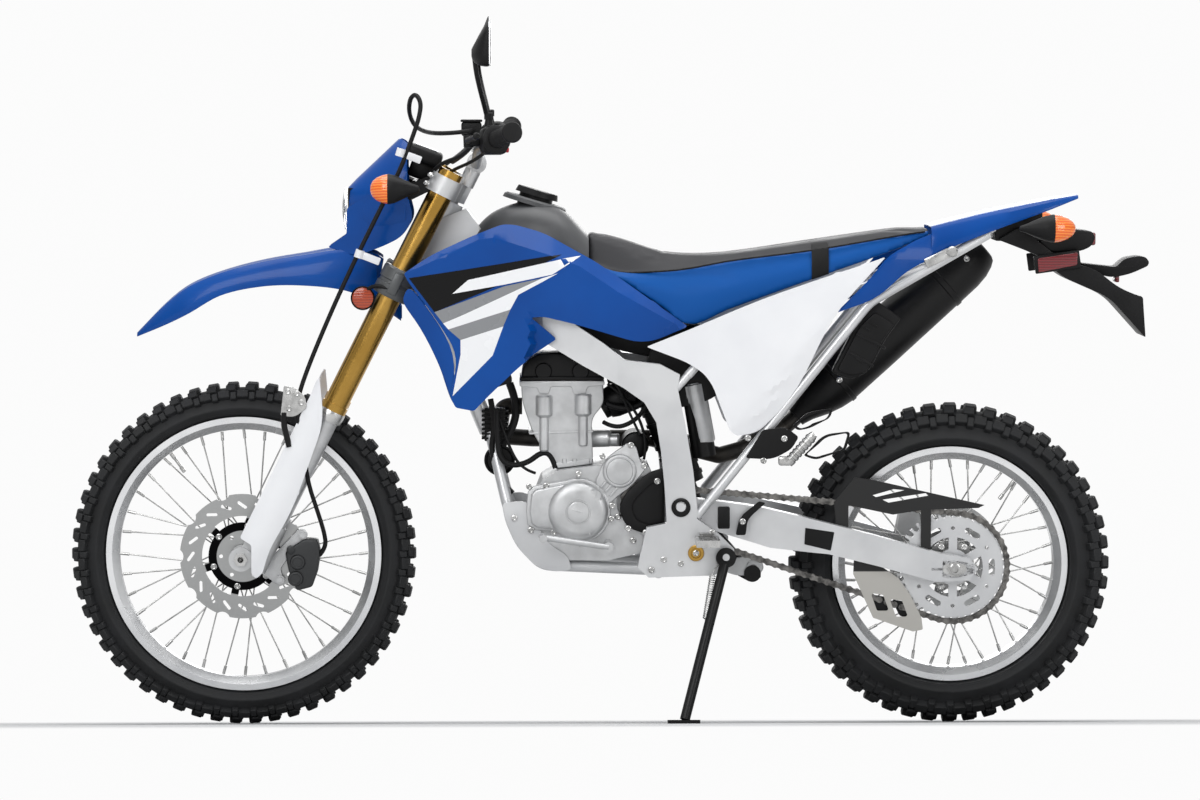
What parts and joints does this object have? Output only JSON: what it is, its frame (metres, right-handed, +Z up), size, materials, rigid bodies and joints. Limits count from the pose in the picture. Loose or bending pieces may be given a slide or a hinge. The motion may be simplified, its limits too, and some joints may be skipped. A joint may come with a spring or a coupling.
{
  "type": "dual sport motorcycle",
  "caption": "Dual sport motorcycle with spoked wheels, long forks, high mudguards and a slim seat, leaning on its side stand, with steering, wheels and stand that move.",
  "frame": {"origin": "centre of the bounding box's bottom face, on the ground", "axes": "+X towards the rear wheel, +Y towards the rider's right, +Z up; the motorcycle leans 8 degrees towards -Y on its side stand"},
  "size_m": [2.1638, 0.841, 1.4576],
  "materials": {
    "tyre": "moulded",
    "rim_silver": "anodised",
    "steel": "brushed",
    "fork_gold": "anodised",
    "cast_alloy": "cast",
    "frame_silver": "satin",
    "black_metal": "satin",
    "black_plastic": "textured",
    "blue_plastic": "gloss",
    "white_plastic": "gloss",
    "orange_lens": "clear",
    "red_lens": "clear",
    "seat_cover": "vinyl",
    "rubber": "matt"
  },
  "bodies": {
    "chassis": {"main_frame": "frame_silver", "subframe": "frame_silver", "crankcase": "cast_alloy", "cylinder": "cast_alloy", "cylinder_head_cover": "black_metal", "engine_covers": "cast_alloy", "sprocket_cover": "black_plastic", "radiator": "black_metal", "exhaust_pipe": "steel", "muffler": "black_metal", "skid_plate": "cast_alloy", "fuel_tank": "black_plastic", "fuel_cap": "black_plastic", "seat": "seat_cover", "radiator_shrouds": "blue_plastic", "side_covers": "white_plastic", "rear_fender": "blue_plastic", "plate_holder": "black_plastic", "tail_lamp": "red_lens", "rear_indicators": "orange_lens", "tool_box": "black_plastic", "swingarm": "cast_alloy", "rear_axle": "steel", "shock_absorber": "steel", "chain_guard": "black_plastic", "drive_chain": "steel", "rear_caliper": "cast_alloy", "footpegs": "steel", "passenger_pegs": "black_metal", "foot_controls": "cast_alloy", "front_sprocket": "steel"},
    "steering": {"triple_clamps": "cast_alloy", "fork_tubes": "fork_gold", "fork_lowers": "cast_alloy", "fork_guards": "white_plastic", "front_axle": "steel", "handlebar": "cast_alloy", "grips": "rubber", "hand_controls": "black_plastic", "mirrors": "black_plastic", "headlight_cowl": "blue_plastic", "headlight": "black_plastic", "lamp_bracket": "black_metal", "instrument_panel": "black_plastic", "front_fender": "blue_plastic", "front_indicators": "orange_lens", "front_caliper": "cast_alloy", "front_brake_hose": "rubber"},
    "front_wheel": {"front_tyre": "tyre", "front_rim": "rim_silver", "front_hub": "steel", "front_brake_disc": "steel"},
    "rear_wheel": {"rear_tyre": "tyre", "rear_rim": "rim_silver", "rear_hub": "steel", "rear_sprocket": "steel", "rear_brake_disc": "steel"},
    "side_stand": {"side_stand": "black_metal"}
  },
  "joints": [
    {"name": "steering", "type": "hinge", "parent": "chassis", "child": "steering", "pos_m": [-0.35341, 0.03921, 0.974], "axis": [0.4489, -0.1244, 0.8849], "range_deg": [-43, 43]},
    {"name": "front_wheel_spin", "type": "hinge", "parent": "steering", "child": "front_wheel", "pos_m": [-0.73515, 0.12776, 0.34392], "axis": [0, -0.9903, -0.1392], "continuous": true},
    {"name": "rear_wheel_spin", "type": "hinge", "parent": "chassis", "child": "rear_wheel", "pos_m": [0.68485, 0.13084, 0.32204], "axis": [0, -0.9903, -0.1392], "continuous": true},
    {"name": "side_stand_swing", "type": "hinge", "parent": "chassis", "child": "side_stand", "pos_m": [0.22785, -0.02124, 0.32632], "axis": [0, -0.9952, 0.0975], "range_deg": [0, 128.15]}
  ]
}
